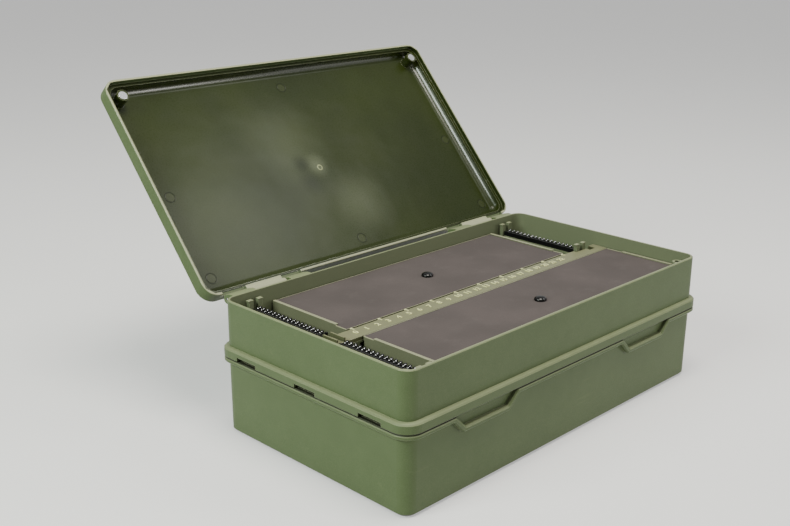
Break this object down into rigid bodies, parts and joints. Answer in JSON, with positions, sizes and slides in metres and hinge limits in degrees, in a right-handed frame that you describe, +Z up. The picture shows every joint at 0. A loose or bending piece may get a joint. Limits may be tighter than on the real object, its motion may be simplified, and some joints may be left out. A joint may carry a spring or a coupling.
{
  "type": "tackle box",
  "caption": "Two-tier tackle box with a hinged upper tray, a magnetic hinged lid, lift-out foam-topped rig boards and pin rails.",
  "frame": {"origin": "centre of the flat underside of the lower box", "axes": "+X along the box, +Y towards the hinges, +Z up"},
  "size_m": [0.36, 0.3501, 0.2537],
  "materials": {
    "lower_shell": "fine matt grain",
    "tray_shell": "fine matt grain",
    "lid_shell": "matt outside, smoother inside",
    "board_plastic": "fine matt grain",
    "strip_plastic": "matt, embossed ruler",
    "mat_foam": "closed-cell foam",
    "rail_plastic": "matt black",
    "knob_plastic": "gloss black",
    "magnet_steel": "nickel-plated magnet",
    "pin_steel": "polished pin"
  },
  "bodies": {
    "lower_box": {"lower_box": "lower_shell", "lower_magnets": "magnet_steel", "tray_hinge_pins": "pin_steel"},
    "upper_tray": {"upper_tray": "tray_shell", "centre_strip": "strip_plastic", "catch_magnets": "magnet_steel", "base_magnets": "magnet_steel", "lid_hinge_pins": "pin_steel", "rail_pins": "pin_steel", "left_rear_rail": "rail_plastic", "left_front_rail": "rail_plastic", "right_rear_rail": "rail_plastic"},
    "rear_board": {"rear_board": "board_plastic", "rear_mat": "mat_foam", "rear_knob": "knob_plastic"},
    "front_board": {"front_board": "board_plastic", "front_mat": "mat_foam", "front_knob": "knob_plastic"},
    "lid": {"lid": "lid_shell", "lid_magnets": "magnet_steel"}
  },
  "joints": [
    {"name": "tray_hinge", "type": "hinge", "parent": "lower_box", "child": "upper_tray", "pos_m": [0, 0.1045, 0.0627], "axis": [-1, 0, 0], "range_deg": [0, 95]},
    {"name": "lid_hinge", "type": "hinge", "parent": "upper_tray", "child": "lid", "pos_m": [0, 0.1045, 0.102], "axis": [1, 0, 0], "range_deg": [0, 131.5]},
    {"name": "rear_board_lift", "type": "slide", "parent": "upper_tray", "child": "rear_board", "axis": [0, 0, -1], "range_m": [-0.04, 0]},
    {"name": "front_board_lift", "type": "slide", "parent": "upper_tray", "child": "front_board", "axis": [0, 0, -1], "range_m": [-0.04, 0]}
  ]
}
